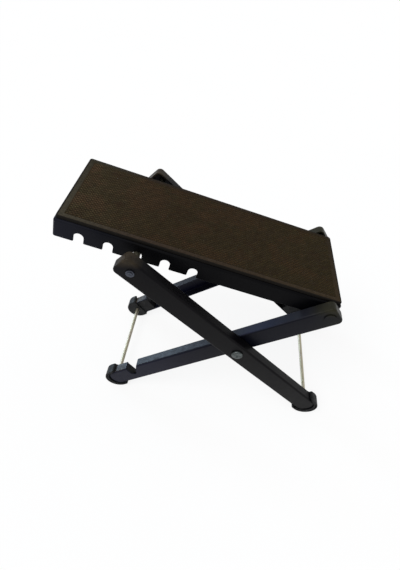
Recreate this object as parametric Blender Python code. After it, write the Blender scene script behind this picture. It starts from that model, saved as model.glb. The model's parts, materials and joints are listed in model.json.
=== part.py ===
"""Folding guitar footrest: a notched steel platform on a pair of scissor legs.

The platform hangs on a hinge at the top of the inner legs. A rod between the outer legs holds it up
in one of its notches. Everything is in metres, +Z up, standing on its four rubber feet at Z = 0,
with the long side along X, the high end at -X, and the near side at -Y.
"""
import math

import bmesh
import bpy
from mathutils import Vector

# Gaps and cuts
GAP = 0.0003
OVERRUN = 0.004

# Platform: a pressed steel tray with its walls turned down, under a rubber mat
DECK_LENGTH = 0.2714
DECK_WIDTH = 0.1011
DECK_DEPTH = 0.0192
DECK_STEEL = 0.0012
DECK_CORNER = 0.0026
DECK_BEND = 0.0022
MAT_THICKNESS = 0.0025
MAT_EDGE_ROUND = 0.0018
MAT_INSET = 0.0004

# Notches in the long walls, counted from the high end, and the one that the rod stands in.
# The rod leans on the notch's high side, this far round from its crown.
NOTCH_COUNT = 5
NOTCH_IN_USE = 3
NOTCH_FIRST = 0.0231
NOTCH_PITCH = 0.0262
NOTCH_CROWN = 0.0086
NOTCH_PLAY = 0.0011
NOTCH_MOUTH_ROUND = 0.001
NOTCH_LEAN = math.radians(20)

# Hinge of the platform, from its low end and from the top of its plate
HINGE_FROM_END = 0.0096
HINGE_DEPTH = 0.0074

# Legs: pressed channels, open towards the middle, closed round both ends
INNER_LEG_LENGTH = 0.2696
OUTER_LEG_LENGTH = 0.2671
LEG_HEIGHT = 0.023
LEG_DEPTH = 0.0106
LEG_STEEL = 0.0015
LEG_BEND = 0.002
LEG_CORNER = 0.0052
INNER_OVERHANG = 0.009
OUTER_OVERHANG = 0.013
OUTER_PIVOT = 0.1429
INNER_PIVOT = 0.0982
SLOT_PLAY = 0.0008
SLOT_RISE = 0.0025
SLOT_FUNNEL = 0.0078

# Rods, rivets, sleeves and washers
ROD_DIAMETER = 0.0068
ROD_TENON = 0.0038
ROD_END_DIAMETER = 0.005
ROD_END_HEIGHT = 0.0009
ROD_WASHER_DIAMETER = 0.0078
FOOT_ROD_DIAMETER = 0.0042
RIVET_SHANK = 0.005
RIVET_HEAD_DIAMETER = 0.0116
RIVET_HEAD_HEIGHT = 0.002
RIVET_DIMPLE_DIAMETER = 0.004
RIVET_DIMPLE_DEPTH = 0.0008
RIVET_TAIL_DIAMETER = 0.008
RIVET_TAIL_HEIGHT = 0.0014
SLEEVE_DIAMETER = 0.009
WASHER_DIAMETER = 0.013
WASHER_THICKNESS = 0.0008

# Rubber feet: a boot round the leg's end, with a plug inside the channel
FOOT_RADIUS = 0.0146
FOOT_HEEL = 0.0028
FOOT_CHEEK = 0.0012
FOOT_EDGE_ROUND = 0.0012
FOOT_ARM = 0.006
FOOT_ARM_ROUND = 0.002
FOOT_PLUG_LENGTH = 0.0238
FOOT_GROOVE = 0.0011
FOOT_GROOVE_DEPTH = 0.002

# Facets
CORNER_STEPS = 5
BEND_STEPS = 3
ROUND_STEPS = 32
BORE_STEPS = 24
BOOT_STEPS = 26
SMOOTH_ANGLE = math.radians(32)

SIDES = {"near": -1, "far": 1}

# Sizes across the object, from its middle plane outwards
SIDE_STEP = WASHER_THICKNESS + 2 * GAP
DECK_HALF = DECK_WIDTH / 2
INNER_OPEN = DECK_HALF + SIDE_STEP
INNER_FACE = INNER_OPEN + LEG_DEPTH
OUTER_OPEN = INNER_FACE + SIDE_STEP
OUTER_FACE = OUTER_OPEN + LEG_DEPTH

# Places in the platform's own frame: hinge axis at 0, X towards the low end, Z square to the plate
DECK_LEFT = HINGE_FROM_END - DECK_LENGTH
DECK_RIGHT = HINGE_FROM_END
DECK_TOP = HINGE_DEPTH
NOTCH_HALF = ROD_DIAMETER / 2 + NOTCH_PLAY
NOTCH_CENTRE_Z = DECK_TOP - NOTCH_CROWN - NOTCH_HALF
SEAT_SHIFT = NOTCH_PLAY - GAP
SEAT_X = DECK_LEFT + NOTCH_FIRST + (NOTCH_IN_USE - 1) * NOTCH_PITCH - SEAT_SHIFT * math.sin(NOTCH_LEAN)
SEAT_Z = NOTCH_CENTRE_Z + SEAT_SHIFT * math.cos(NOTCH_LEAN)


def solve_linkage():
    """Return the pivot's height and the tilts of the legs and the platform, in radians.

    The rod's seat fixes the distance from hinge to rod, which fixes the angle between the legs.
    Both pairs of feet stand at the same height, which fixes the tilt of the whole.
    """
    reach = math.hypot(SEAT_X, SEAT_Z)
    opening = math.acos((OUTER_PIVOT**2 + INNER_PIVOT**2 - reach**2) / (2 * OUTER_PIVOT * INNER_PIVOT))
    inner_shank = INNER_LEG_LENGTH - INNER_PIVOT
    outer_shank = OUTER_LEG_LENGTH - OUTER_PIVOT
    rise = outer_shank * math.sin(opening)
    run = inner_shank - outer_shank * math.cos(opening)
    inner_tilt = math.atan2(rise, run)
    outer_tilt = inner_tilt + opening - math.pi
    pivot_height = FOOT_RADIUS + inner_shank * math.sin(inner_tilt)
    hinge = Vector((math.cos(inner_tilt), math.sin(inner_tilt))) * INNER_PIVOT
    rod = Vector((-math.cos(outer_tilt), -math.sin(outer_tilt))) * OUTER_PIVOT
    seen = rod - hinge
    deck_tilt = math.atan2(seen.y, seen.x) - math.atan2(SEAT_Z, SEAT_X)
    return pivot_height, inner_tilt, outer_tilt, deck_tilt


def clear_scene():
    for old in list(bpy.data.objects):
        bpy.data.objects.remove(old, do_unlink=True)


def make_material(name, colour, roughness, metallic):
    material = bpy.data.materials.new(name)
    material.use_nodes = True
    shader = material.node_tree.nodes["Principled BSDF"]
    shader.inputs["Base Color"].default_value = (*colour, 1.0)
    shader.inputs["Roughness"].default_value = roughness
    shader.inputs["Metallic"].default_value = metallic
    return material


def make_empty(name, location, tilt, parent=None):
    """Return an empty on a joint's axis, turned so that its X runs along its body."""
    empty = bpy.data.objects.new(name, None)
    bpy.context.scene.collection.objects.link(empty)
    empty.parent = parent
    empty.location = location
    empty.rotation_euler = (0, -tilt, 0)
    return empty


def finish_object(name, bm, parent, material=None):
    """Turn a bmesh into a named object, with its faces outwards and its round sides smooth."""
    bmesh.ops.recalc_face_normals(bm, faces=bm.faces)
    mesh = bpy.data.meshes.new(name)
    bm.to_mesh(mesh)
    bm.free()
    mesh.shade_smooth()
    mesh.set_sharp_from_angle(angle=SMOOTH_ANGLE)
    piece = bpy.data.objects.new(name, mesh)
    bpy.context.scene.collection.objects.link(piece)
    piece.parent = parent
    if material:
        mesh.materials.append(material)
    return piece


def as_cutter(piece):
    piece.hide_render = True
    piece.display_type = "WIRE"
    return piece


def cut(piece, cutter):
    boolean = piece.modifiers.new("cut_" + cutter.name, "BOOLEAN")
    boolean.operation = "DIFFERENCE"
    boolean.solver = "EXACT"
    boolean.object = cutter


def loft(bm, rings):
    """Skin a closed solid over rings of equal count, with a flat cap at each end."""
    loops = [[bm.verts.new(point) for point in ring] for ring in rings]
    for first, second in zip(loops, loops[1:]):
        for i, vert in enumerate(first):
            j = (i + 1) % len(first)
            bm.faces.new((vert, first[j], second[j], second[i]))
    bm.faces.new(loops[0])
    bm.faces.new(list(reversed(loops[-1])))


def prism(bm, outline, low, high):
    """Extrude an outline of X and Z places along Y."""
    loft(bm, [[(x, y, z) for x, z in outline] for y in (low, high)])


def turned(bm, profile, steps, x=0):
    """Spin a profile of (place along Y, radius) round an axis along Y at X = x, Z = 0."""
    verts = [bm.verts.new((x, place, radius)) for place, radius in profile]
    edges = [bm.edges.new(pair) for pair in zip(verts, verts[1:])]
    bmesh.ops.spin(bm, geom=verts + edges, cent=(x, 0, 0), axis=(0, 1, 0), angle=math.tau, steps=steps,
                   use_merge=True)
    bmesh.ops.remove_doubles(bm, verts=bm.verts, dist=GAP / 100)


def pin_profile(sections):
    """Return a closed turned profile through (start, end, radius) sections along Y."""
    profile = [(sections[0][0], 0)]
    for start, end, radius in sections:
        profile += [(start, radius), (end, radius)]
    profile.append((sections[-1][1], 0))
    return profile


def tube(bm, low, high, bore_radius, radius, steps, x=0):
    """Make a plain sleeve or washer along Y."""
    loop = [(low, bore_radius), (low, radius), (high, radius), (high, bore_radius), (low, bore_radius)]
    turned(bm, loop, steps, x)


def arc(centre, radius, start, end, steps):
    """Return points on an arc, both ends included, with its angles in radians."""
    points = []
    for i in range(steps + 1):
        angle = start + (end - start) * i / steps
        points.append((centre[0] + radius * math.cos(angle), centre[1] + radius * math.sin(angle)))
    return points


def round_outline(left, right, half, left_radius, right_radius, inset=0):
    """Return a rounded rectangle, anticlockwise, drawn in by an inset (or out, where it is negative)."""
    quarter = math.pi / 2
    corners = [
        (right - right_radius, right_radius - half, right_radius, -quarter),
        (right - right_radius, half - right_radius, right_radius, 0),
        (left + left_radius, half - left_radius, left_radius, quarter),
        (left + left_radius, left_radius - half, left_radius, 2 * quarter),
    ]
    points = []
    for across, along, radius, start in corners:
        corner = arc((across, along), radius - inset, start, start + quarter, CORNER_STEPS)
        if points and math.dist(points[-1], corner[0]) < GAP:
            corner.pop(0)
        points += corner
    if math.dist(points[-1], points[0]) < GAP:
        points.pop()
    return points


def bend_levels(radius):
    """Return (inset, depth) levels round an edge of this radius, from its face to its side."""
    angles = [math.pi / 2 * i / BEND_STEPS for i in range(BEND_STEPS + 1)]
    return [(radius * (1 - math.sin(angle)), radius * (1 - math.cos(angle))) for angle in angles]


def tray_levels(depth, steel, bend):
    """Return (inset, depth from the outer face) levels of a pressed tray with round bends."""
    inside = [(steel + inset, steel + down) for inset, down in bend_levels(bend - steel)]
    return bend_levels(bend) + [(0, depth), (steel, depth)] + inside[::-1]


def notch_outline(x):
    """Return one notch: a round crown, straight sides and a rounded mouth through the wall's edge."""
    wall_edge = DECK_TOP - DECK_DEPTH
    mouth = NOTCH_HALF + NOTCH_MOUTH_ROUND
    mouth_z = wall_edge + NOTCH_MOUTH_ROUND
    points = arc((x, NOTCH_CENTRE_Z), NOTCH_HALF, 0, math.pi, BORE_STEPS // 2)
    points += arc((x - mouth, mouth_z), NOTCH_MOUTH_ROUND, 0, -math.pi / 2, BEND_STEPS)
    points += [(x - mouth, wall_edge - OVERRUN), (x + mouth, wall_edge - OVERRUN)]
    points += arc((x + mouth, mouth_z), NOTCH_MOUTH_ROUND, -math.pi / 2, -math.pi, BEND_STEPS)
    return points


def make_platform(parent, steel, rubber):
    """Tray and mat, in the platform's frame."""
    bm = bmesh.new()
    rings = []
    for inset, down in tray_levels(DECK_DEPTH, DECK_STEEL, DECK_BEND):
        outline = round_outline(DECK_LEFT, DECK_RIGHT, DECK_HALF, DECK_CORNER, DECK_CORNER, inset)
        rings.append([(x, y, DECK_TOP - down) for x, y in outline])
    loft(bm, rings)
    tray = finish_object("platform_tray", bm, parent, steel)

    bm = bmesh.new()
    for i in range(NOTCH_COUNT):
        x = DECK_LEFT + NOTCH_FIRST + i * NOTCH_PITCH
        prism(bm, notch_outline(x), -DECK_HALF - OVERRUN, DECK_HALF + OVERRUN)
    reach = DECK_HALF + OVERRUN
    turned(bm, pin_profile([(-reach, reach, RIVET_SHANK / 2 + GAP)]), BORE_STEPS)
    cut(tray, as_cutter(finish_object("platform_cutter", bm, parent)))

    bm = bmesh.new()
    levels = [(0, GAP)]
    for inset, down in reversed(bend_levels(MAT_EDGE_ROUND)):
        levels.append((inset, MAT_THICKNESS - down))
    rings = []
    for inset, up in levels:
        outline = round_outline(DECK_LEFT, DECK_RIGHT, DECK_HALF, DECK_CORNER, DECK_CORNER, inset + MAT_INSET)
        rings.append([(x, y, DECK_TOP + up) for x, y in outline])
    loft(bm, rings)
    finish_object("platform_mat", bm, parent, rubber)


def leg_outline(foot_x, top_x, inset=0):
    """Return a leg's outline: square-shouldered past its top hole, full round at its foot."""
    half = LEG_HEIGHT / 2
    end = FOOT_RADIUS - FOOT_HEEL
    if foot_x < top_x:
        return round_outline(foot_x - end, top_x + INNER_OVERHANG, half, half, LEG_CORNER, inset)
    return round_outline(top_x - OUTER_OVERHANG, foot_x + end, half, LEG_CORNER, half, inset)


def make_leg(name, parent, material, foot_x, top_x, face, side, cutter):
    """One pressed channel: a web on the outside, with its wall running all the way round."""
    bm = bmesh.new()
    rings = []
    for inset, inward in tray_levels(LEG_DEPTH, LEG_STEEL, LEG_BEND):
        outline = leg_outline(foot_x, top_x, inset)
        rings.append([(x, side * (face - inward), z) for x, z in outline])
    loft(bm, rings)
    leg = finish_object(name, bm, parent, material)
    cut(leg, cutter)


def leg_cutter(name, parent, face, holes, slot_x=None):
    """Holes through both legs of a pair, and the slot that takes the rod when the legs are closed.

    The slot opens out like a funnel towards the pivot.
    """
    reach = face + OVERRUN
    bm = bmesh.new()
    for x, radius in holes:
        turned(bm, pin_profile([(-reach, reach, radius)]), BORE_STEPS, x)
    if slot_x is not None:
        half = ROD_DIAMETER / 2 + SLOT_PLAY
        top = LEG_HEIGHT / 2 + OVERRUN
        outline = arc((slot_x, SLOT_RISE), half, math.pi, math.tau, BORE_STEPS // 2)
        outline += [(slot_x + half + SLOT_FUNNEL, LEG_HEIGHT / 2), (slot_x + half + SLOT_FUNNEL, top)]
        outline.append((slot_x - half, top))
        prism(bm, outline, -reach, reach)
    return as_cutter(finish_object(name, bm, parent))


def boot_outline(foot_x, way, shrink):
    """Return the boot's outline: a round heel, an arm along each flange and the plug's tongue."""
    radius = FOOT_RADIUS - shrink
    tongue = (LEG_HEIGHT - LEG_STEEL) / 2
    arm_end = shrink - FOOT_ARM
    tip = FOOT_ARM_ROUND - shrink
    quarter = math.pi / 2
    points = arc((arm_end + tip, tip - radius), tip, -2 * quarter, -quarter, BEND_STEPS)
    points += arc((0, 0), radius, -quarter, quarter, BOOT_STEPS)
    points += arc((arm_end + tip, radius - tip), tip, quarter, 2 * quarter, BEND_STEPS)
    points += [(arm_end, tongue), (-FOOT_PLUG_LENGTH, tongue)]
    points += [(-FOOT_PLUG_LENGTH, -tongue), (arm_end, -tongue)]
    return [(foot_x + way * along, across) for along, across in points]


def make_foot(name, parent, material, foot_x, top_x, face, side):
    """One rubber boot, with its plug inside the channel.

    The steel's form, grown by the gap, is cut out of it, and the plug's tongue is cut back into the channel.
    """
    way = 1 if foot_x > top_x else -1
    opening = face - LEG_DEPTH
    low = opening - GAP - FOOT_CHEEK
    high = face + FOOT_CHEEK
    levels = [(shrink, low + across) for shrink, across in bend_levels(FOOT_EDGE_ROUND)]
    levels += [(shrink, high - across) for shrink, across in reversed(bend_levels(FOOT_EDGE_ROUND))]
    bm = bmesh.new()
    loft(bm, [[(x, side * y, z) for x, z in boot_outline(foot_x, way, shrink)] for shrink, y in levels])
    foot = finish_object(name, bm, parent, material)

    bm = bmesh.new()
    pocket = [
        (-GAP - FOOT_GROOVE, -FOOT_CHEEK - OVERRUN),
        (-GAP - FOOT_GROOVE, 0),
        (-GAP, FOOT_GROOVE_DEPTH),
        (-GAP, LEG_DEPTH + GAP),
        (LEG_STEEL + GAP, LEG_DEPTH + GAP),
        (LEG_STEEL + GAP, LEG_STEEL + GAP),
    ]
    rings = []
    for inset, inward in pocket:
        rings.append([(x, side * (face - inward), z) for x, z in leg_outline(foot_x, top_x, inset)])
    loft(bm, rings)
    cut(foot, as_cutter(finish_object(name + "_pocket", bm, parent)))

    bm = bmesh.new()
    reach = sorted((side * (low - OVERRUN), side * (high + OVERRUN)))
    turned(bm, pin_profile([(*reach, FOOT_ROD_DIAMETER / 2 + GAP)]), BORE_STEPS, foot_x)
    start = foot_x - way * (FOOT_ARM + GAP)
    end = foot_x - way * (FOOT_PLUG_LENGTH + OVERRUN)
    half = LEG_HEIGHT / 2
    prism(bm, [(start, -half), (start, half), (end, half), (end, -half)],
          side * (low - OVERRUN), side * (opening + GAP))
    cut(foot, as_cutter(finish_object(name + "_bore", bm, parent)))


def make_height_rod(name, parent, material, x, face, end_start):
    """The rod across the top, shouldered against both webs and peened over washers outside them."""
    shoulder = face - LEG_STEEL - GAP
    end = end_start + ROD_END_HEIGHT
    sections = [
        (-end, -end_start, ROD_END_DIAMETER / 2),
        (-end_start, -shoulder, ROD_TENON / 2),
        (-shoulder, shoulder, ROD_DIAMETER / 2),
        (shoulder, end_start, ROD_TENON / 2),
        (end_start, end, ROD_END_DIAMETER / 2),
    ]
    bm = bmesh.new()
    turned(bm, pin_profile(sections), ROUND_STEPS, x)
    return finish_object(name, bm, parent, material)


def make_foot_rod(name, parent, material, x, face):
    """The thin rod between two feet, through both boots' plugs and up to the webs."""
    reach = face - LEG_STEEL - GAP
    bm = bmesh.new()
    turned(bm, pin_profile([(-reach, reach, FOOT_ROD_DIAMETER / 2)]), ROUND_STEPS, x)
    return finish_object(name, bm, parent, material)


def domed_rivet(name, parent, material, x, tail, head, side):
    """A rivet with a domed, dimpled head outside and a peened tail inside."""
    dome = RIVET_HEAD_HEIGHT
    dimple = RIVET_DIMPLE_DIAMETER / 2
    edge = RIVET_HEAD_DIAMETER / 2
    flat = (dimple + edge) / 2
    profile = [
        (tail - RIVET_TAIL_HEIGHT, 0),
        (tail - RIVET_TAIL_HEIGHT, RIVET_TAIL_DIAMETER / 2),
        (tail, RIVET_TAIL_DIAMETER / 2),
        (tail, RIVET_SHANK / 2),
        (head, RIVET_SHANK / 2),
        (head, edge),
        (head + dome / 2, edge - (edge - flat) / 4),
        (head + dome, flat),
        (head + dome, dimple),
        (head + dome - RIVET_DIMPLE_DEPTH, 0),
    ]
    bm = bmesh.new()
    turned(bm, [(side * place, radius) for place, radius in profile], ROUND_STEPS, x)
    return finish_object(name, bm, parent, material)


def flat_rivet(name, parent, material, x, tail, head, side):
    """A rivet with a low flat head, which the outer leg passes over when the legs are closed."""
    sections = [
        (tail - RIVET_TAIL_HEIGHT, tail, RIVET_TAIL_DIAMETER / 2),
        (tail, head, RIVET_SHANK / 2),
        (head, head + SIDE_STEP - 2 * GAP, RIVET_HEAD_DIAMETER / 2),
    ]
    bm = bmesh.new()
    turned(bm, [(side * place, radius) for place, radius in pin_profile(sections)], ROUND_STEPS, x)
    return finish_object(name, bm, parent, material)


def make_ring(name, parent, material, x, low, high, bore, diameter, side):
    """A sleeve or washer on a pin."""
    bm = bmesh.new()
    reach = sorted((side * low, side * high))
    tube(bm, *reach, bore / 2 + GAP, diameter / 2, ROUND_STEPS, x)
    return finish_object(name, bm, parent, material)


def make_inner_frame(parent, paint, zinc, rivet_steel, rubber):
    """Inner legs: hinge at +X, feet at -X, pivot at 0."""
    foot_x = INNER_PIVOT - INNER_LEG_LENGTH
    hinge_x = INNER_PIVOT
    hole = RIVET_SHANK / 2 + GAP
    holes = [(hinge_x, hole), (0, hole)]
    cutter = leg_cutter("inner_leg_cutter", parent, INNER_FACE, holes, slot_x=-OUTER_PIVOT)
    web = INNER_FACE - LEG_STEEL
    for label, side in SIDES.items():
        make_leg("inner_leg_" + label, parent, paint, foot_x, hinge_x, INNER_FACE, side, cutter)
        make_foot("inner_foot_" + label, parent, rubber, foot_x, hinge_x, INNER_FACE, side)
        flat_rivet("hinge_rivet_" + label, parent, paint, hinge_x, DECK_HALF - DECK_STEEL - GAP,
                   INNER_FACE + GAP, side)
        make_ring("hinge_sleeve_" + label, parent, rivet_steel, hinge_x, INNER_OPEN, web - GAP,
                  RIVET_SHANK, SLEEVE_DIAMETER, side)
        make_ring("hinge_washer_" + label, parent, rivet_steel, hinge_x, DECK_HALF + GAP,
                  INNER_OPEN - GAP, RIVET_SHANK, WASHER_DIAMETER, side)
    make_foot_rod("inner_foot_rod", parent, zinc, foot_x, INNER_FACE)


def make_outer_frame(parent, paint, zinc, rivet_steel, rubber):
    """Outer legs: rod at -X, feet at +X, pivot at 0."""
    foot_x = OUTER_LEG_LENGTH - OUTER_PIVOT
    rod_x = -OUTER_PIVOT
    holes = [(rod_x, ROD_TENON / 2 + GAP), (0, RIVET_SHANK / 2 + GAP)]
    cutter = leg_cutter("outer_leg_cutter", parent, OUTER_FACE, holes)
    web = OUTER_FACE - LEG_STEEL
    washer_top = OUTER_FACE + GAP + WASHER_THICKNESS
    for label, side in SIDES.items():
        make_leg("outer_leg_" + label, parent, paint, foot_x, rod_x, OUTER_FACE, side, cutter)
        make_foot("outer_foot_" + label, parent, rubber, foot_x, rod_x, OUTER_FACE, side)
        domed_rivet("pivot_rivet_" + label, parent, rivet_steel, 0, INNER_FACE - LEG_STEEL - GAP,
                    OUTER_FACE + GAP, side)
        make_ring("pivot_sleeve_" + label, parent, rivet_steel, 0, OUTER_OPEN, web - GAP,
                  RIVET_SHANK, SLEEVE_DIAMETER, side)
        make_ring("pivot_washer_" + label, parent, rivet_steel, 0, INNER_FACE + GAP,
                  OUTER_OPEN - GAP, RIVET_SHANK, WASHER_DIAMETER, side)
        make_ring("rod_washer_" + label, parent, rivet_steel, rod_x, OUTER_FACE + GAP, washer_top,
                  ROD_TENON, ROD_WASHER_DIAMETER, side)
    make_height_rod("height_rod", parent, zinc, rod_x, OUTER_FACE, washer_top + GAP)
    make_foot_rod("outer_foot_rod", parent, zinc, foot_x, OUTER_FACE)


def centre_on_floor(root):
    """Slide the whole along X until its lowest and highest X lie evenly about 0."""
    bpy.context.view_layer.update()
    places = []
    for piece in bpy.data.objects:
        if piece.type == "MESH" and not piece.hide_render:
            places += [(piece.matrix_world @ vert.co).x for vert in piece.data.vertices]
    root.location.x -= (min(places) + max(places)) / 2


def main():
    clear_scene()
    paint = make_material("black_paint", (0.018, 0.019, 0.024), 0.42, 0.0)
    mat_rubber = make_material("mat_rubber", (0.042, 0.031, 0.022), 0.75, 0.0)
    foot_rubber = make_material("foot_rubber", (0.017, 0.017, 0.018), 0.6, 0.0)
    zinc = make_material("yellow_zinc", (0.66, 0.60, 0.44), 0.3, 1.0)
    rivet_steel = make_material("rivet_steel", (0.62, 0.64, 0.68), 0.28, 1.0)

    pivot_height, inner_tilt, outer_tilt, deck_tilt = solve_linkage()
    hinge_x = INNER_PIVOT * math.cos(inner_tilt)
    hinge_z = pivot_height + INNER_PIVOT * math.sin(inner_tilt)
    root = make_empty("footrest", (0, 0, 0), 0)
    inner = make_empty("inner_frame", (0, 0, pivot_height), inner_tilt, root)
    outer = make_empty("outer_frame", (0, 0, pivot_height), outer_tilt, root)
    deck = make_empty("platform", (hinge_x, 0, hinge_z), deck_tilt, root)

    make_platform(deck, paint, mat_rubber)
    make_inner_frame(inner, paint, zinc, rivet_steel, foot_rubber)
    make_outer_frame(outer, paint, zinc, rivet_steel, foot_rubber)
    centre_on_floor(root)
    bpy.context.view_layer.update()


main()
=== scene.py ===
"""Looks of the folding guitar footrest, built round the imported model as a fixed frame."""
import json
import math

import bmesh
import bpy
from mathutils import Matrix, Quaternion, Vector


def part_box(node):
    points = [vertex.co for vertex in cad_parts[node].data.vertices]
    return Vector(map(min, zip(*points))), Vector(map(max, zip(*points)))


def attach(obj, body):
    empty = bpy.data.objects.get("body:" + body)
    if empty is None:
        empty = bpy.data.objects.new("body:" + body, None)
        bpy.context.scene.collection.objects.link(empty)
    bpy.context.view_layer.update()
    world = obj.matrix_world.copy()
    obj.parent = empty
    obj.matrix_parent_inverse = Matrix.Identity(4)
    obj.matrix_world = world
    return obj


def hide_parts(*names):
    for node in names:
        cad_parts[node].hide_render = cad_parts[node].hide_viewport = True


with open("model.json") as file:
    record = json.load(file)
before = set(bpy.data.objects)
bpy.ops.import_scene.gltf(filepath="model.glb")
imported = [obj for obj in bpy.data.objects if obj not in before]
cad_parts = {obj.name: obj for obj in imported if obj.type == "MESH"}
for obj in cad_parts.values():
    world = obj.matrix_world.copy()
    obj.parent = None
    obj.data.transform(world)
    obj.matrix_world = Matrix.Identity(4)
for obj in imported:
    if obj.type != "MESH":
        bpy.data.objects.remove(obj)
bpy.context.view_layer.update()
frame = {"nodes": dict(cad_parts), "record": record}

# Camera: the photograph's view, in the 400 x 570 frame
PHOTO_LONG_SIDE = 570
FOCAL_PIXELS = 390.27
SENSOR = 36.0
CAMERA_AZIMUTH = 0.13219
CAMERA_ELEVATION = 0.79954
CAMERA_ROLL = -0.02293
CAMERA_DISTANCE = 0.43913
CAMERA_TARGET = Vector((-0.01055, 0.0, 0.12690))
CAMERA_CLIP = 0.01

# Light: the world and the broad key lamp together make a colour render about as it is written.
# The back lamp is narrow and cool, and comes low from behind on the left.
WHITE = (1, 1, 1)
WORLD_LEVEL = 0.6
COOL_WHITE = (0.60, 0.80, 1.0)
LAMPS = {
    "key": {"source": (-0.5, -0.6, 1.3), "spread": math.radians(40), "power": 1.45, "colour": WHITE},
    "back": {"source": (-0.84, 0.51, 0.18), "spread": math.radians(15), "power": 1.3, "colour": COOL_WHITE},
}
FLOOR_SIZE = 6.0
FLOOR_SQUARES = 4
FLOOR_COLOUR = 0.95
FLOOR_UNEVENNESS = 0.01
FLOOR_GRAIN = (3, 2)
FLOOR_ROUGHNESS = 0.9
FLOOR_GLOW = 0.85

# Mat: a rounded border round a field of small raised diamonds, a little further back than the tray's middle
MAT_LENGTH = 0.2690
MAT_WIDTH = 0.0986
MAT_BACK = 0.0007
MAT_THICKNESS = 0.0022
MAT_CORNER = 0.0026
MAT_LEAST_CORNER = 0.0003
MAT_CORNER_STEPS = 6
MAT_ROUND = 0.0010
MAT_ROUND_STEPS = 6
# The width over which the rounded edge's painted shade gives way to the border
MAT_EDGE_SHADE_BLEND = 0.0012
MAT_BORDER = 0.0062
MAT_SUNK = 0.0005
# The step from the border down to the field: (distance from the field, depth, share of the border's colour)
MAT_STEP = ((0.0007, 0, 1), (0.0004, 0.00012, 0.7), (0, MAT_SUNK, 0))
DIAMONDS_ALONG = 75
DIAMONDS_ACROSS = 25
DIAMOND_HEIGHT = 0.00045
# How far a diamond's foot and its top reach towards its neighbours, and how deep the foot goes into the field
DIAMOND_FOOT = 0.94
DIAMOND_TOP = 0.5
DIAMOND_ROOT = 0.0001

# Height rod: shaft, tenons through the webs, and peened ends over the washers
ROD_RADIUS = 0.0034
ROD_CHAMFER = 0.0005
ROD_SHOULDER_GAP = 0.0003
ROD_TENON_RADIUS = 0.0019
ROD_END_RADIUS = 0.0025
ROD_END_HEIGHT = 0.0009
# A peened end's profile: (share of its height below the tip, share of its radius)
ROD_END_SHAPE = ((1, 1), (0.5, 0.97), (0.15, 0.8), (0, 0.55), (0.3, 0.3), (0.4, 0))

# Rivets of the leg pivots: a domed head with a dimple, and a peened tail
RIVET_SHANK_RADIUS = 0.0025
RIVET_HEAD_RADIUS = 0.0058
RIVET_HEAD_HEIGHT = 0.0020
RIVET_HEAD_STEPS = 7
RIVET_DIMPLE_RADIUS = 0.0021
RIVET_DIMPLE_DEPTH = 0.0009
RIVET_TAIL_RADIUS = 0.0040
RIVET_TAIL_HEIGHT = 0.0014
# The share of the head's height that its upright rim has, and of the dimple's depth that its round edge has
RIVET_HEAD_RIM = 0.35
RIVET_DIMPLE_EDGE = 0.35
# The dimple's bowl: (share of its depth above the bottom, share of its radius)
RIVET_DIMPLE_BOWL = ((0.15, 0.72), (0, 0.4), (0, 0))
# The tail's flat end has this share of its radius, and the slope round it this share of its height
RIVET_TAIL_FLAT = 0.8
RIVET_TAIL_EDGE = 0.3

# Pressed steel and moulded rubber: the small radius that real edges have, by material slot
EDGE_RADII = {"black_paint": 0.00025, "foot_rubber": 0.0003}
EDGE_ANGLE = math.radians(40)
EDGE_STEPS = 2
MERGE_DISTANCE = 1e-6
FLAT_ANGLE = math.radians(0.5)

# Feet: two crescents inside each boot's rim, over the steel's round end: (outer inset, inner inset, lift)
LEG_HALF = 0.0115
LEG_END = 0.0118
SHEET = 0.0015
LIP = (-0.0004, 0.0019, 0.0010)
# The inner crescent is painted near-black: painted shade in the recess
RECESS = (0.0016, 0.0048, 0.0002)
CRESCENT_TURN = math.radians(100)
CRESCENT_STEPS = 40
CRESCENT_SUNK = 0.0004
# The height that the inner edge keeps, how fast the insets shrink towards the horns, and what is left there
CRESCENT_INNER_EDGE = 0.3
CRESCENT_TAPER = 0.9
CRESCENT_LEAST = 0.02

ROUND_STEPS = 64
SMOOTH_ANGLE = math.radians(35)
MAT_SMOOTH_ANGLE = math.radians(50)

# Finishes. A grain is a noise's (scale, detail, roughness, times it is drawn out along X, Y and Z, turn
# about Z), and may leave out the last ones. A stop is (grey, colour). A bump is (grain, depth in metres,
# strength). A painted light is made of (X, factors on the colour): painted light and shade along X.
NO_CHANGE = (1, 1, 1)
# The greys between which nearly all of a noise lies
GREYS_FROM, GREYS_TO = 0.3, 0.7
# How steeply a face's normal points up where the face begins to count as looking up, and where it wholly does
UPWARD_FROM, UPWARD_TO = 0.5, 0.8
# The Mix node's sockets for colours
MIX_SHARE, MIX_FIRST, MIX_SECOND, MIX_RESULT = 0, 6, 7, 2

# Black stove enamel: slight orange peel, pale specks, and a drift between two blacks
ENAMEL_DRIFT = (28, 2)
ENAMEL_DRIFT_GREYS = (0.35, 0.65)
# The grain that breaks up the painted highlight at the top ends, and the shares it spans
ENAMEL_GLINT_GRAIN = (120, 4)
ENAMEL_GLINT_SHARES = (0.5, 1.1)
ENAMEL_SPECKS = (900, 2)
ENAMEL_SPECK_STOPS = ((0.70, (0, 0, 0)), (0.78, (0.008, 0.008, 0.008)))
ENAMEL_SHEEN = (160, 5, 0.7)
ENAMEL_ROUGHNESS = (0.34, 0.46)
ENAMEL_BUMPS = (((1400, 2), 0.00006, 0.25), ((260, 3), 0.0002, 0.12))
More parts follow.
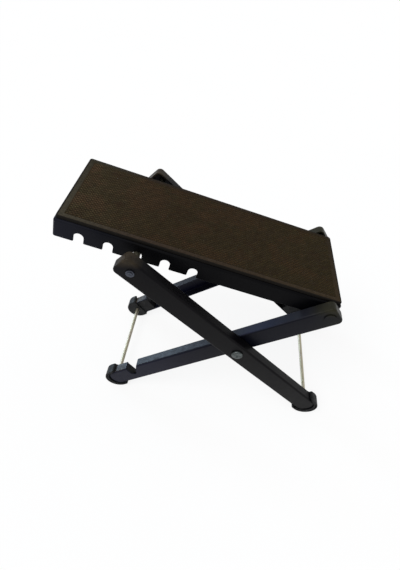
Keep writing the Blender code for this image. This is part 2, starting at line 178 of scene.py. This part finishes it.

# Each body's own copy of the black enamel, made lighter, darker or bluer along X by how it is lit: painted
# light and shade. A painted glint is (height where it begins, height where it is whole, colour): a painted
# highlight at the frame's top end.
ENAMELS = {
    "inner_frame": {
        "name": "enamel_inner",
        "specular": 0.09,
        "blacks": ((0.0042, 0.0050, 0.0105), (0.0072, 0.0080, 0.0130)),
        "painted_light": ((-0.13, (0.8, 0.8, 1.3)), (-0.06, (0.65, 0.65, 1.2)), (-0.015, (0.25, 0.25, 0.65)),
                 (0.03, (0.25, 0.25, 0.3)), (0.06, (0.25, 0.3, 0.5)), (0.1, (0.35, 0.35, 0.5)),
                 (0.13, (1.2, 1.1, 0.55))),
        # Painted sheen and light on faces that look up, strongest at the feet and near the hinge
        "painted_top_light": ((-0.13, (6.5, 4.8, 2.3)), (-0.102, (5.5, 4.1, 2.0)), (-0.094, NO_CHANGE),
                     (0.03, NO_CHANGE), (0.045, (2.3, 2.3, 2.5)), (0.06, (2.9, 3.0, 3.0)),
                     (0.08, (2.2, 2.1, 1.8)), (0.1, (3.0, 2.7, 1.7)), (0.115, (1.8, 1.7, 0.9)),
                     (0.13, (1.2, 1.1, 0.55))),
        "painted_glint": (0.161, 0.170, (0.018, 0.0168, 0.0085)),
    },
    "outer_frame": {
        "name": "enamel_outer",
        "specular": 0.07,
        "blacks": ((0.0021, 0.0018, 0.0027), (0.0036, 0.0033, 0.0037)),
        "painted_light": ((-0.0753, (1.6, 1.5, 1.6)), (-0.06, NO_CHANGE), (0.03, (0.9, 0.9, 0.9)),
                 (0.13, (0.5, 0.5, 0.55))),
        "painted_glint": (0.2175, 0.2245, (0.036, 0.0275, 0.0175)),
    },
    "platform": {
        "name": "enamel_deck",
        "specular": 0.05,
        "blacks": ((0.0018, 0.0019, 0.0026), (0.0034, 0.0032, 0.0036)),
        "painted_light": ((-0.13, (3.0, 3.3, 4.6)), (-0.06, NO_CHANGE), (0.03, (0.5, 0.5, 0.6)),
                 (0.13, (0.4, 0.4, 0.5))),
    },
}

# The mat's brown-black rubber and its scuffs, and its painted light and shade along the platform: paler and
# bluer to the left
MAT_SPECULAR = 0.06
MAT_DRIFT = (38, 4, 0.65)
MAT_DRIFT_STOPS = ((0.32, (0.027, 0.0150, 0.0070)), (0.46, (0.030, 0.0225, 0.0095)),
                   (0.58, (0.040, 0.0225, 0.0105)), (0.7, (0.036, 0.0250, 0.0115)))
MAT_GRAIN = (520, 4, 0.7)
MAT_GRAIN_STOPS = ((0.3, (0.62, 0.62, 0.62)), (0.75, (1.35, 1.3, 1.2)))
MAT_SCUFFS = (260, 4, 0.7, (5, 1, 1), math.radians(38))
MAT_SCUFF_STOPS = ((0.38, (0.70, 0.69, 0.66)), (0.62, (1.12, 1.10, 1.05)))
MAT_PAINTED_LIGHT = ((-0.13, (1.95, 2.2, 2.7)), (-0.039, (1.12, 1.12, 1.12)), (0.13, (0.92, 0.98, 0.75)))
MAT_SHEEN = (300, 3)
MAT_ROUGHNESS = (0.55, 0.8)
MAT_BUMPS = (((1800, 3), 0.0001, 0.35),)
BORDER_COLOUR = (0.040, 0.029, 0.0195)
# Painted light along the border: paler and bluer to the left
BORDER_PAINTED_LIGHT = ((-0.13, (1.39, 1.75, 1.9)), (-0.0572, (0.92, 0.88, 0.94)), (0.13, (0.85, 0.82, 0.67)))
# Painted shade: the border darker on the far side than on the near
BORDER_FAR_SIDE_SHADE = (0.55, 0.55, 0.5)
# Painted shade in the sunk field between the diamonds
GROOVE_SHADE_COLOUR = (0.0200, 0.0132, 0.0074)
# Painted shade on the mat's rounded edge and side
EDGE_SHADE_COLOUR = (0.006, 0.005, 0.004)

# Plain finishes: the grain and stops of the colour, and the grain and range of the roughness
DRAWING_LINES = (1500, 2, 0.55, (1, 50, 1))
SCRATCHES = (2200, 3, 0.55, (1, 1, 20 / 3))
FINISHES = {
    # Moulded black rubber with scuffs and floor dust
    "foot_rubber": {
        "uniform": {"Specular IOR Level": 0.12},
        "tone": (240, 5, 0.7),
        "stops": ((0.45, (0.0080, 0.0082, 0.0088)), (0.75, (0.020, 0.021, 0.022))),
        "sheen": (90, 4),
        "roughness": (0.42, 0.68),
        "bumps": (((1100, 3), 0.0001, 0.3), ((120, 2), 0.0003, 0.15)),
    },
    # The same rubber, darkened to near black in the boots' recesses as painted shade
    "boot_recess_shade": {
        "uniform": {"Specular IOR Level": 0.02},
        "tone": (300, 4),
        "stops": ((0.35, (0.0008, 0.0010, 0.0014)), (0.75, (0.0020, 0.0022, 0.0028))),
        "sheen": (90, 4),
        "roughness": (0.6, 0.8),
        "bumps": (((1100, 3), 0.0001, 0.3),),
    },
    # Yellow-passivated drawn rod: straw metal with lengthwise drawing lines and faint rainbow blots
    "yellow_zinc": {
        "uniform": {"Metallic": 1.0},
        "tone": (70, 3),
        "stops": ((0.3, (0.32, 0.31, 0.235)), (0.5, (0.42, 0.395, 0.295)), (0.7, (0.39, 0.355, 0.29))),
        "sheen": DRAWING_LINES,
        "roughness": (0.45, 0.62),
        "bumps": ((DRAWING_LINES, 0.00008, 0.3),),
    },
    # Zinc-plated steel, tumbled: fine scratches and grey dents
    "rivet_steel": {
        "uniform": {"Metallic": 1.0},
        "tone": (500, 4),
        "stops": ((0.35, (0.045, 0.052, 0.052)), (0.7, (0.12, 0.135, 0.135))),
        "sheen": SCRATCHES,
        "roughness": (0.25, 0.45),
        "bumps": ((SCRATCHES, 0.00005, 0.3), ((600, 2), 0.0001, 0.2)),
    },
    # Peened and washered steel ends, blackened where the enamel's stove has taken their shine
    "dull_steel": {
        "uniform": {"Metallic": 1.0},
        "tone": (700, 4),
        "stops": ((0.35, (0.045, 0.050, 0.065)), (0.7, (0.10, 0.11, 0.135))),
        "sheen": (1500, 3),
        "roughness": (0.35, 0.6),
        "bumps": (((900, 3), 0.0001, 0.3),),
    },
}
# The height rod's shaft is of the foot rods' zinc, with its colours dimmed to this share: painted shade, as
# the rod lies under the deck
ROD_SHADE_SHARE = 0.33

# CAD nodes that have a piece built for them here. The others are drawn from their own meshes.
BUILT_HERE = {"platform_mat", "height_rod", "pivot_rivet_near", "pivot_rivet_far"}
SIDES = (("near", -1), ("far", 1))

joints = {joint["name"]: Vector(joint["pos_m"]) for joint in frame["record"]["behaviour"]["joints"]}
mount = frame["record"]["mounts"][0]


# Materials

class Recipe:
    """A Principled material made of procedural nodes, in the piece's own coordinates."""

    def __init__(self, name, uniform):
        self.material = bpy.data.materials.new(name)
        self.material.use_nodes = True
        self.tree = self.material.node_tree
        self.shader = self.tree.nodes["Principled BSDF"]
        coordinates = self.add("ShaderNodeTexCoord")
        self.place = coordinates.outputs["Object"]
        self.facing = coordinates.outputs["Normal"]
        for socket, value in uniform.items():
            self.shader.inputs[socket].default_value = value

    def add(self, kind, **settings):
        """Return a new node with these settings."""
        node = self.tree.nodes.new(kind)
        for key, value in settings.items():
            setattr(node, key, value)
        return node

    def link(self, source, target):
        self.tree.links.new(source, target)

    def noise(self, scale, detail, rough=0.55, drawn=(1, 1, 1), turn=0):
        """Return the grey output of a noise whose grain is about 1/scale metres wide."""
        mapping = self.add("ShaderNodeMapping", vector_type="TEXTURE")
        mapping.inputs["Rotation"].default_value = (0, 0, turn)
        mapping.inputs["Scale"].default_value = drawn
        self.link(self.place, mapping.inputs["Vector"])
        texture = self.add("ShaderNodeTexNoise")
        for socket, value in (("Scale", scale), ("Detail", detail), ("Roughness", rough)):
            texture.inputs[socket].default_value = value
        self.link(mapping.outputs["Vector"], texture.inputs["Vector"])
        return texture.outputs["Fac"]

    def axis(self, vector, name):
        """Return one of a vector's X, Y and Z."""
        parts = self.add("ShaderNodeSeparateXYZ")
        self.link(vector, parts.inputs[0])
        return parts.outputs[name]

    def along(self, start, end, name="X"):
        """Return 0 to 1 along an axis from start to end, in metres."""
        return self.span(self.axis(self.place, name), 0, 1, start, end)

    def facing_up(self):
        """Return 0 on walls and undersides, and 1 on faces that look up."""
        return self.span(self.axis(self.facing, "Z"), 0, 1, UPWARD_FROM, UPWARD_TO)

    def attribute(self, name):
        """Return one of the mesh's own values."""
        return self.add("ShaderNodeAttribute", attribute_name=name).outputs["Fac"]

    def ramp(self, source, stops):
        """Return the colour of a grey between its stops."""
        node = self.add("ShaderNodeValToRGB")
        elements = node.color_ramp.elements
        for i, (grey, colour) in enumerate(stops):
            element = elements[i] if i < 2 else elements.new(grey)
            element.position = grey
            element.color = (*colour, 1)
        self.link(source, node.inputs["Fac"])
        return node.outputs["Color"]

    def painted_light_factors(self, painted_light):
        """Return the factors of a painted light and shade at each X."""
        low, high = painted_light[0][0], painted_light[-1][0]
        return self.ramp(self.along(low, high), [((x - low) / (high - low), factors) for x, factors in painted_light])

    def span(self, source, low, high, start=GREYS_FROM, end=GREYS_TO):
        """Map a grey from start..end to low..high."""
        node = self.add("ShaderNodeMapRange")
        for socket, value in (("From Min", start), ("From Max", end), ("To Min", low), ("To Max", high)):
            node.inputs[socket].default_value = value
        self.link(source, node.inputs["Value"])
        return node.outputs["Result"]

    def blend(self, share, first, second, mode="MIX"):
        """Mix two colours. Each is an output or a plain colour, and the share is an output or a number."""
        node = self.add("ShaderNodeMix", data_type="RGBA", blend_type=mode)
        for index, value in ((MIX_SHARE, share), (MIX_FIRST, first), (MIX_SECOND, second)):
            if isinstance(value, bpy.types.NodeSocket):
                self.link(value, node.inputs[index])
            else:
                node.inputs[index].default_value = (*value, 1) if isinstance(value, tuple) else value
        return node.outputs[MIX_RESULT]

    def times(self, colour, *all_factors):
        """Return a colour multiplied by each of the factors."""
        for factors in all_factors:
            colour = self.blend(1.0, colour, factors, "MULTIPLY")
        return colour

    def paint(self, colour, roughness=None):
        """Give the shader its colour and its roughness."""
        self.link(colour, self.shader.inputs["Base Color"])
        if roughness:
            self.link(roughness, self.shader.inputs["Roughness"])

    def bump(self, bumps):
        """Lay bumps one over another."""
        normal = None
        for grain, depth, strength in bumps:
            node = self.add("ShaderNodeBump")
            node.inputs["Distance"].default_value = depth
            node.inputs["Strength"].default_value = strength
            self.link(self.noise(*grain), node.inputs["Height"])
            if normal:
                self.link(normal, node.inputs["Normal"])
            normal = node.outputs["Normal"]
        self.link(normal, self.shader.inputs["Normal"])


def plain_finish(name, uniform, tone, stops, sheen, roughness, bumps, strength=1.0):
    """A material with one grain for its colour and one for its roughness. Strength scales its colours."""
    recipe = Recipe(name, uniform)
    scaled = [(grey, tuple(strength * part for part in colour)) for grey, colour in stops]
    recipe.paint(recipe.ramp(recipe.noise(*tone), scaled), recipe.span(recipe.noise(*sheen), *roughness))
    recipe.bump(bumps)
    return recipe.material


def enamel(name, specular, blacks, painted_light, painted_top_light=None, painted_glint=None):
    """Black stove enamel, with its painted light and shade along X. The painted top light holds on faces that
    look up: a painted sheen and light on them.

    Between the two heights of the painted glint, a painted highlight takes the paint to its colour.
    """
    recipe = Recipe(name, {"Specular IOR Level": specular})
    factors = recipe.painted_light_factors(painted_light)
    if painted_top_light:
        factors = recipe.blend(recipe.facing_up(), factors, recipe.painted_light_factors(painted_top_light))
    drift = recipe.ramp(recipe.noise(*ENAMEL_DRIFT), zip(ENAMEL_DRIFT_GREYS, blacks))
    colour = recipe.times(drift, factors)
    # Painted highlight near the frame's top end
    if painted_glint:
        start, end, glint_colour = painted_glint
        share = recipe.add("ShaderNodeMath", operation="MULTIPLY")
        recipe.link(recipe.along(start, end, "Z"), share.inputs[0])
        recipe.link(recipe.span(recipe.noise(*ENAMEL_GLINT_GRAIN), *ENAMEL_GLINT_SHARES), share.inputs[1])
        colour = recipe.blend(share.outputs[0], colour, glint_colour)
    specks = recipe.ramp(recipe.noise(*ENAMEL_SPECKS), ENAMEL_SPECK_STOPS)
    sheen = recipe.span(recipe.noise(*ENAMEL_SHEEN), *ENAMEL_ROUGHNESS)
    recipe.paint(recipe.blend(1.0, colour, specks, "ADD"), sheen)
    recipe.bump(ENAMEL_BUMPS)
    return recipe.material


def mat_rubber():
    """Brown-black rubber, plainer on the smooth border, with painted light along X and painted shade in its
    grooves, on its rounded edge and on the border's far side.
    """
    recipe = Recipe("mat_rubber", {"Specular IOR Level": MAT_SPECULAR})
    grain = recipe.ramp(recipe.noise(*MAT_GRAIN), MAT_GRAIN_STOPS)
    scuffs = recipe.ramp(recipe.noise(*MAT_SCUFFS), MAT_SCUFF_STOPS)
    drift = recipe.ramp(recipe.noise(*MAT_DRIFT), MAT_DRIFT_STOPS)
    field = recipe.times(drift, grain, recipe.painted_light_factors(MAT_PAINTED_LIGHT), scuffs)
    from_far_side = recipe.along(MAT_WIDTH / 2, -MAT_WIDTH / 2, "Y")
    shade = recipe.ramp(from_far_side, ((0, BORDER_FAR_SIDE_SHADE), (1, NO_CHANGE)))
    border = recipe.times(BORDER_COLOUR, recipe.painted_light_factors(BORDER_PAINTED_LIGHT), shade, grain)
    colour = recipe.blend(recipe.attribute("rim"), field, border)
    colour = recipe.blend(recipe.attribute("groove"), colour, GROOVE_SHADE_COLOUR)
    colour = recipe.blend(recipe.attribute("side"), colour, EDGE_SHADE_COLOUR)
    recipe.paint(colour, recipe.span(recipe.noise(*MAT_SHEEN), *MAT_ROUGHNESS))
    recipe.bump(MAT_BUMPS)
    return recipe.material


def floor_paper():
    """White paper. To the camera and in reflections it glows part way to white, and keeps the shadow."""
    recipe = Recipe("floor_paper", {"Roughness": FLOOR_ROUGHNESS, "Specular IOR Level": 0.0})
    low, high = ((FLOOR_COLOUR + shift,) * 3 for shift in (-FLOOR_UNEVENNESS, FLOOR_UNEVENNESS))
    recipe.paint(recipe.ramp(recipe.noise(*FLOOR_GRAIN), ((GREYS_FROM, low), (GREYS_TO, high))))
    glow = recipe.add("ShaderNodeEmission")
    glow.inputs["Color"].default_value = (*WHITE, 1)
    share = recipe.add("ShaderNodeMath", operation="MULTIPLY")
    recipe.link(seen_directly(recipe.tree), share.inputs[0])
    share.inputs[1].default_value = FLOOR_GLOW
    mix = recipe.add("ShaderNodeMixShader")
    recipe.link(share.outputs[0], mix.inputs[0])
    recipe.link(recipe.shader.outputs[0], mix.inputs[1])
    recipe.link(glow.outputs[0], mix.inputs[2])
    recipe.link(mix.outputs[0], recipe.tree.nodes["Material Output"].inputs["Surface"])
    return recipe.material


def seen_directly(tree):
    """Return 1 for rays from the camera, and for those that a glossy or clear surface sends on."""
    path = tree.nodes.new("ShaderNodeLightPath")
    total = path.outputs["Is Camera Ray"]
    for name in ("Is Glossy Ray", "Is Transmission Ray"):
        node = tree.nodes.new("ShaderNodeMath")
        node.operation = "MAXIMUM"
        tree.links.new(total, node.inputs[0])
        tree.links.new(path.outputs[name], node.inputs[1])
        total = node.outputs[0]
    return total


# Meshes

def finish_mesh(name, bm, finishes, smooth_angle=SMOOTH_ANGLE):
    """Turn a bmesh into an object that is smooth but for edges sharper than the angle."""
    mesh = bpy.data.meshes.new(name)
    bmesh.ops.recalc_face_normals(bm, faces=bm.faces)
    bm.to_mesh(mesh)
    bm.free()
    mesh.shade_smooth()
    mesh.set_sharp_from_angle(angle=smooth_angle)
    piece = bpy.data.objects.new(name, mesh)
    bpy.context.scene.collection.objects.link(piece)
    for finish in finishes:
        mesh.materials.append(finish)
    return piece


def stand_in(piece, body, slot, *nodes):
    """Let a piece ride on its body in the place of CAD nodes."""
    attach(piece, body)
    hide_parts(*nodes)


def box_middle(node):
    """Return the middle of a node's box at rest."""
    low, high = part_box(node)
    return (Vector(low) + Vector(high)) / 2


def frame_at(origin, up):
    """Return a matrix at origin with Y across the object, Z along up, and X square to both."""
    up = Vector(up).normalized()
    across = Vector((0, 1, 0))
    along = across.cross(up)
    matrix = Matrix((along, across, up)).transposed().to_4x4()
    matrix.translation = origin
    return matrix


def round_rect(half_x, half_y, radius, steps):
    """Return the outline of a rectangle with round corners, counter-clockwise."""
    points = []
    for i, (sx, sy) in enumerate(((1, 1), (-1, 1), (-1, -1), (1, -1))):
        for step in range(steps + 1):
            angle = math.pi / 2 * (i + step / steps)
            points.append((sx * (half_x - radius) + radius * math.cos(angle),
                           sy * (half_y - radius) + radius * math.sin(angle)))
    return points


def join_rings(bm, rings):
    """Lay faces between each closed ring of vertices and the next."""
    for first, second in zip(rings, rings[1:]):
        for i, vert in enumerate(first):
            j = (i + 1) % len(first)
            bm.faces.new((vert, first[j], second[j], second[i]))


def mat_levels():
    """Return the mat's rings, from its underside to its field: (inset, height, share of border colour)."""
    levels = [(0, -MAT_THICKNESS, 1), (0, -MAT_ROUND, 1)]
    for i in range(1, MAT_ROUND_STEPS + 1):
        angle = math.pi / 2 * i / MAT_ROUND_STEPS
        levels.append((MAT_ROUND * (1 - math.cos(angle)), -MAT_ROUND * (1 - math.sin(angle)), 1))
    levels.append((MAT_ROUND + MAT_EDGE_SHADE_BLEND, 0, 1))
    levels += [(MAT_BORDER - distance, -depth, share) for distance, depth, share in MAT_STEP]
    return levels


def make_mat(finish):
    """The mat: rounded border, sunk field, and a lattice of raised diamonds, cut in half along the border."""
    half_x, half_y = MAT_LENGTH / 2, MAT_WIDTH / 2
    bm = bmesh.new()
    rim = bm.verts.layers.float.new("rim")
    groove = bm.verts.layers.float.new("groove")
    # Marks the rounded edge and side, which take the painted shade
    edge_shade = bm.verts.layers.float.new("side")
    rings = []
    for inset, z, share in mat_levels():
        corner = max(MAT_CORNER - inset, MAT_LEAST_CORNER)
        outline = round_rect(half_x - inset, half_y - inset, corner, MAT_CORNER_STEPS)
        ring = [bm.verts.new((x, y, z)) for x, y in outline]
        for vert in ring:
            vert[rim] = share
            vert[groove] = 1.0 if z == -MAT_SUNK else 0.0
            vert[edge_shade] = 1.0 if inset <= MAT_ROUND else 0.0
        rings.append(ring)
    join_rings(bm, rings)
    bm.faces.new(rings[0])
    bm.faces.new(rings[-1])

    field = (half_x - MAT_BORDER, half_y - MAT_BORDER)
    reach = (field[0] / DIAMONDS_ALONG, field[1] / DIAMONDS_ACROSS)
    for i in range(2 * DIAMONDS_ALONG + 1):
        for j in range(i % 2, 2 * DIAMONDS_ACROSS + 1, 2):
            add_diamond(bm, groove, (i * reach[0] - field[0], j * reach[1] - field[1]), reach, field)
    mat = finish_mesh("mat", bm, [finish], MAT_SMOOTH_ANGLE)
    mat.data.transform(Matrix.Translation((0, MAT_BACK, 0)) @ frame_at(mount["pos_m"], mount["axis"]))
    stand_in(mat, "platform", "mat_rubber", "platform_mat")


def add_diamond(bm, groove, centre, reach, field):
    """Raise one diamond from the field. Where it crosses the field's edge, it stops there."""
    rings = []
    for share, z in ((DIAMOND_FOOT, -MAT_SUNK - DIAMOND_ROOT), (DIAMOND_TOP, DIAMOND_HEIGHT - MAT_SUNK)):
        corners = []
        for dx, dy in ((1, 0), (0, 1), (-1, 0), (0, -1)):
            x = centre[0] + share * reach[0] * dx
            y = centre[1] + share * reach[1] * dy
            corners.append((max(-field[0], min(field[0], x)), max(-field[1], min(field[1], y)), z))
        rings.append([corner for k, corner in enumerate(corners) if corner != corners[k - 1]])
    if len(rings[0]) < 3 or len(rings[0]) != len(rings[1]):
        return
    foot, top = ([bm.verts.new(point) for point in ring] for ring in rings)
    for vert in foot:
        vert[groove] = 1.0
    join_rings(bm, (foot, top))
    bm.faces.new(top)


def turned(name, profile, centre, side, finishes, dark=()):
    """Spin a profile of (place along Y, radius) round an axis along Y. Its places are mirrored for side -1.

    Faces whose two profile points are both in dark take the second finish.
    """
    bm = bmesh.new()
    rings = []
    for place, radius in profile:
        ring = []
        for step in range(ROUND_STEPS if radius else 1):
            angle = math.tau * step / ROUND_STEPS
            ring.append(bm.verts.new((centre.x + radius * math.cos(angle), side * place,
                                      centre.z + radius * math.sin(angle))))
        rings.append(ring)
    for k, (first, second) in enumerate(zip(rings, rings[1:])):
        for i in range(ROUND_STEPS):
            j = (i + 1) % ROUND_STEPS
            corners = [ring[n % len(ring)] for ring, n in ((first, i), (first, j), (second, j), (second, i))]
            face = bm.faces.new(list(dict.fromkeys(corners)))
            face.material_index = 1 if k in dark and k + 1 in dark else 0
    return finish_mesh(name, bm, finishes)


def rivet_head(base):
    """Return the profile of a domed head with a round dimple, from its rim to its middle."""
    points = []
    top = base + RIVET_HEAD_HEIGHT
    bottom = top - RIVET_DIMPLE_DEPTH
    crown = (RIVET_HEAD_RADIUS + RIVET_DIMPLE_RADIUS) / 2
    quarter = [math.pi / 2 * i / RIVET_HEAD_STEPS for i in range(RIVET_HEAD_STEPS + 1)]
    for angle in quarter:
        rise = RIVET_HEAD_HEIGHT * (RIVET_HEAD_RIM + (1 - RIVET_HEAD_RIM) * math.sin(angle))
        points.append((base + rise, crown + (RIVET_HEAD_RADIUS - crown) * math.cos(angle)))
    for angle in quarter[1:]:
        drop = RIVET_DIMPLE_DEPTH * (1 - math.cos(angle)) * RIVET_DIMPLE_EDGE
        points.append((top - drop, crown - (crown - RIVET_DIMPLE_RADIUS) * math.sin(angle)))
    for lift, share in RIVET_DIMPLE_BOWL:
        points.append((bottom + RIVET_DIMPLE_DEPTH * lift, RIVET_DIMPLE_RADIUS * share))
    return points


def rivet_tail(base):
    """Return the profile of a peened tail, from its middle to the shank."""
    return [(base, 0), (base, RIVET_TAIL_RADIUS * RIVET_TAIL_FLAT),
            (base + RIVET_TAIL_HEIGHT * RIVET_TAIL_EDGE, RIVET_TAIL_RADIUS),
            (base + RIVET_TAIL_HEIGHT, RIVET_TAIL_RADIUS), (base + RIVET_TAIL_HEIGHT, RIVET_SHANK_RADIUS)]


def make_pivot_rivets(steel):
    """The two rivets on which the legs cross."""
    for label, side in SIDES:
        node = "pivot_rivet_" + label
        inside, outside = sorted(abs(Vector(corner).y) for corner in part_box(node))
        head = outside - RIVET_HEAD_HEIGHT
        neck = [(head, RIVET_SHANK_RADIUS), (head, RIVET_HEAD_RADIUS)]
        profile = rivet_tail(inside) + neck + rivet_head(head)
        rivet = turned("rivet_" + label, profile, box_middle(node), side, [steel])
        stand_in(rivet, "outer_frame", "rivet_steel", node)


def make_height_rod(metal, dark):
    """The rod across the top: shaft, shoulders, tenons and peened ends."""
    end = Vector(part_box("height_rod")[1]).y
    web = Vector(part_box("outer_leg_far")[1]).y
    shoulder = web - SHEET - ROD_SHOULDER_GAP
    half = [(0, ROD_RADIUS), (shoulder - ROD_CHAMFER, ROD_RADIUS), (shoulder, ROD_RADIUS - ROD_CHAMFER),
            (shoulder, ROD_TENON_RADIUS), (end - ROD_END_HEIGHT, ROD_TENON_RADIUS)]
    half += [(end - ROD_END_HEIGHT * back, ROD_END_RADIUS * share) for back, share in ROD_END_SHAPE]
    profile = [(-place, radius) for place, radius in reversed(half)] + half[1:]
    end_points = len(ROD_END_SHAPE) + 1
    ends = set(range(end_points)) | set(range(len(profile) - end_points, len(profile)))
    rod = turned("height_rod_drawn", profile, box_middle("height_rod"), 1, [metal, dark], ends)
    stand_in(rod, "outer_frame", "yellow_zinc", "height_rod")


def make_boot_crescents(rubber, recess_shade):
    """Inside each boot's rim: a lip of rubber on the steel's round end, and a sunk crescent in it, near-black
    as painted shade.
    """
    pivot, hinge = joints["leg_pivot"], joints["platform_hinge"]
    rod = box_middle("height_rod")
    for body, prefix, way in (("inner_frame", "inner", pivot - hinge), ("outer_frame", "outer", pivot - rod)):
        along = Vector((way.x, 0, way.z)).normalized()
        centre = box_middle(prefix + "_foot_rod") + along * (LEG_END - LEG_HALF)
        for label, side in SIDES:
            face = max(Vector(corner).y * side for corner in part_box("%s_leg_%s" % (prefix, label)))
            name = "%s_%s" % (prefix, label)
            lip = crescent("boot_lip_" + name, centre, along, side, face, LIP, rubber)
            dip = crescent("boot_recess_shade_" + name, centre, along, side, face, RECESS, recess_shade)
            for piece in (lip, dip):
                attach(piece, body)


def crescent(name, centre, along, side, face, shape, finish):
    """A crescent on a leg's outer face, round its end. Shape is its two insets from the end and its lift."""
    start, stop, lift = shape
    up = Vector((-along.z, 0, along.x))
    bm = bmesh.new()
    rings = []
    for i in range(CRESCENT_STEPS + 1):
        turn = CRESCENT_TURN * (2 * i / CRESCENT_STEPS - 1)
        taper = max(math.cos(turn * CRESCENT_TAPER), CRESCENT_LEAST)
        out = along * math.cos(turn) + up * math.sin(turn)
        outer, inner = (LEG_HALF - inset * taper for inset in (start, stop))
        ring = []
        for radius, height in ((outer, -CRESCENT_SUNK), (outer, lift), (inner + lift, lift),
                               (inner, lift * CRESCENT_INNER_EDGE), (inner, -CRESCENT_SUNK)):
            point = centre + out * radius
            ring.append(bm.verts.new((point.x, side * (face + height), point.z)))
        rings.append(ring)
    join_rings(bm, rings)
    bm.faces.new(rings[0])
    bm.faces.new(rings[-1])
    return finish_mesh(name, bm, [finish])


def dress_node(node, finish, edge_radius):
    """A copy of a CAD node's mesh with its coplanar faces joined, its edges rounded and its curves smooth."""
    bm = bmesh.new()
    bm.from_mesh(frame["nodes"][node].data)
    bmesh.ops.remove_doubles(bm, verts=bm.verts, dist=MERGE_DISTANCE)
    bmesh.ops.dissolve_limit(bm, angle_limit=FLAT_ANGLE, verts=bm.verts, edges=bm.edges)
    piece = finish_mesh(node + "_drawn", bm, [finish], EDGE_ANGLE)
    if edge_radius:
        bevel = piece.modifiers.new("edges", "BEVEL")
        bevel.width = edge_radius
        bevel.segments = EDGE_STEPS
        bevel.limit_method = "ANGLE"
        bevel.angle_limit = EDGE_ANGLE
        bevel.harden_normals = True
    weighted = piece.modifiers.new("shading", "WEIGHTED_NORMAL")
    weighted.keep_sharp = True
    return piece


def dress_frame(finishes, enamels):
    """Give every CAD node its finish, and draw each one that has no piece of its own below."""
    bodies = frame["record"]["behaviour"]["bodies"]
    body_of = {node: body for body, nodes in bodies.items() for node in nodes}
    for entry in frame["record"]["subparts"]:
        node, slot = entry["node"], entry["material_slot"]
        if node.startswith("rod_washer"):
            finish = finishes["dull_steel"]
        elif slot == "black_paint":
            finish = enamels[body_of[node]]
        else:
            finish = finishes[slot]
        for own in frame["nodes"][node].material_slots:
            own.material = finish
        if node not in BUILT_HERE:
            stand_in(dress_node(node, finish, EDGE_RADII.get(slot, 0)), body_of[node], slot, node)


# Stage

def make_stage():
    """The floor."""
    bm = bmesh.new()
    bmesh.ops.create_grid(bm, x_segments=FLOOR_SQUARES, y_segments=FLOOR_SQUARES, size=FLOOR_SIZE)
    floor = finish_mesh("floor", bm, [floor_paper()])


def make_world():
    """A plain pale studio that is white to the camera and in reflections."""
    world = bpy.data.worlds.new("studio")
    bpy.context.scene.world = world
    world.use_nodes = True
    tree = world.node_tree
    level = tree.nodes.new("ShaderNodeMapRange")
    level.inputs["To Min"].default_value = WORLD_LEVEL
    level.inputs["To Max"].default_value = 1.0
    tree.links.new(seen_directly(tree), level.inputs["Value"])
    background = tree.nodes["Background"]
    background.inputs["Color"].default_value = (*WHITE, 1)
    tree.links.new(level.outputs["Result"], background.inputs["Strength"])


def soft_lamp(name, source, spread, power, colour):
    """An even light from one direction, spread over an angle."""
    data = bpy.data.lights.new(name, "SUN")
    data.angle = spread
    data.energy = power
    data.color = colour
    light = bpy.data.objects.new(name, data)
    bpy.context.scene.collection.objects.link(light)
    light.location = source
    light.rotation_mode = "QUATERNION"
    light.rotation_quaternion = (-Vector(source)).to_track_quat("-Z", "Y")


def make_camera():
    """The camera, at the photograph's place."""
    data = bpy.data.cameras.new("camera")
    data.sensor_width = SENSOR
    data.lens = SENSOR * FOCAL_PIXELS / PHOTO_LONG_SIDE
    data.clip_start = CAMERA_CLIP
    camera = bpy.data.objects.new("camera", data)
    bpy.context.scene.collection.objects.link(camera)
    across = math.cos(CAMERA_ELEVATION)
    back = Vector((math.sin(CAMERA_AZIMUTH) * across, -math.cos(CAMERA_AZIMUTH) * across,
                   math.sin(CAMERA_ELEVATION)))
    camera.location = CAMERA_TARGET + back * CAMERA_DISTANCE
    camera.rotation_mode = "QUATERNION"
    camera.rotation_quaternion = (-back).to_track_quat("-Z", "Y") @ Quaternion((0, 0, 1), CAMERA_ROLL)
    bpy.context.scene.camera = camera


finishes = {name: plain_finish(name, **settings) for name, settings in FINISHES.items()}
finishes["shaded_zinc"] = plain_finish("shaded_zinc", **FINISHES["yellow_zinc"], strength=ROD_SHADE_SHARE)
finishes["mat_rubber"] = mat_rubber()
enamels = {body: enamel(**settings) for body, settings in ENAMELS.items()}

dress_frame(finishes, enamels)
make_mat(finishes["mat_rubber"])
make_height_rod(finishes["shaded_zinc"], finishes["dull_steel"])
make_pivot_rivets(finishes["rivet_steel"])
make_boot_crescents(finishes["foot_rubber"], finishes["boot_recess_shade"])

make_stage()
make_world()
for name, settings in LAMPS.items():
    soft_lamp(name, **settings)
make_camera()
bpy.context.scene.view_settings.view_transform = "Standard"
